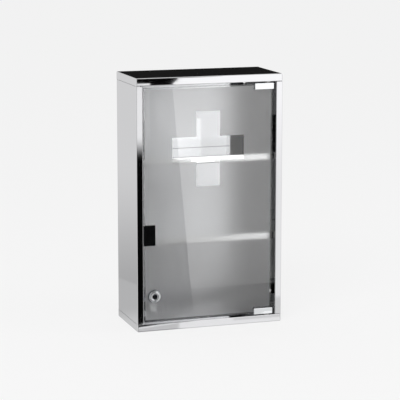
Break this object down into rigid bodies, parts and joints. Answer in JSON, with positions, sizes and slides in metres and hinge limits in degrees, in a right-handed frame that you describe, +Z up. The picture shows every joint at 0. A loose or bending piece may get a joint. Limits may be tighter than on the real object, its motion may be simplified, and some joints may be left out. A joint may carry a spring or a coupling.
{
  "type": "lockable medicine cabinet",
  "caption": "Wall-hung polished steel medicine cabinet with an inset frosted glass door on pivot hinges, a cam lock, a touch latch and folded shelves.",
  "frame": {"origin": "middle of the bounding box, on the underside of the bottom cap", "axes": "+Z up, +Y towards the wall, +X to the right seen from the front; the door faces -Y"},
  "size_m": [0.3, 0.1414, 0.5],
  "materials": {
    "polished_steel": "mirror-polished stainless steel",
    "satin_steel": "satin stainless steel",
    "bright_chrome": "bright chrome plate",
    "zinc_steel": "zinc-plated steel",
    "clear_glass": "clear toughened glass, 4 mm",
    "frosting": "frosting film with a clear cross cut out of it",
    "black_paint": "black powder coat with pale ribs",
    "white_nylon": "natural nylon",
    "grey_plastic": "moulded light grey plastic",
    "dark_plastic": "moulded dark grey plastic",
    "magnet": "nickel-plated magnet",
    "soft_liner": "soft dark liner",
    "adhesive_tape": "double-sided tape"
  },
  "bodies": {
    "cabinet": {"top_cap": "polished_steel", "bottom_cap": "polished_steel", "left_side_panel": "polished_steel", "right_side_panel": "polished_steel", "back_panel": "polished_steel", "upper_shelf": "polished_steel", "lower_shelf": "polished_steel", "upper_left_ledge": "satin_steel", "upper_right_ledge": "satin_steel", "lower_left_ledge": "satin_steel", "lower_right_ledge": "satin_steel", "upper_hinge_bush": "white_nylon", "lower_hinge_bush": "white_nylon", "latch_housing": "grey_plastic", "latch_end_cap": "grey_plastic", "latch_spring": "zinc_steel", "latch_screws": "zinc_steel"},
    "door": {"door_glass": "clear_glass", "frosting_film": "frosting", "upper_hinge_clip": "bright_chrome", "lower_hinge_clip": "bright_chrome", "upper_clip_liner": "soft_liner", "lower_clip_liner": "soft_liner", "upper_clip_screws": "zinc_steel", "lower_clip_screws": "zinc_steel", "upper_pivot_pin": "zinc_steel", "lower_pivot_pin": "zinc_steel", "push_plate": "black_paint", "push_plate_tape": "adhesive_tape", "lock_housing": "bright_chrome", "lock_gasket": "soft_liner", "lock_washer": "zinc_steel", "lock_nut": "zinc_steel"},
    "lock_core": {"lock_plug": "bright_chrome", "lock_cam": "zinc_steel", "cam_screw": "zinc_steel"},
    "plunger": {"latch_plunger": "dark_plastic", "latch_magnet": "magnet"}
  },
  "joints": [
    {"name": "door_swing", "type": "hinge", "parent": "cabinet", "child": "door", "pos_m": [0.1215, -0.06075, 0.25], "axis": [0, 0, 1], "range_deg": [0, 110]},
    {"name": "lock_turn", "type": "hinge", "parent": "door", "child": "lock_core", "pos_m": [-0.1143, -0.06, 0.0695], "axis": [0, 1, 0], "range_deg": [0, 90]},
    {"name": "latch_press", "type": "slide", "parent": "cabinet", "child": "plunger", "axis": [0, 1, 0], "range_m": [0, 0.003], "stiffness_N_per_m": 400, "springref_m": -0.004, "deforming": ["latch_spring"]}
  ]
}
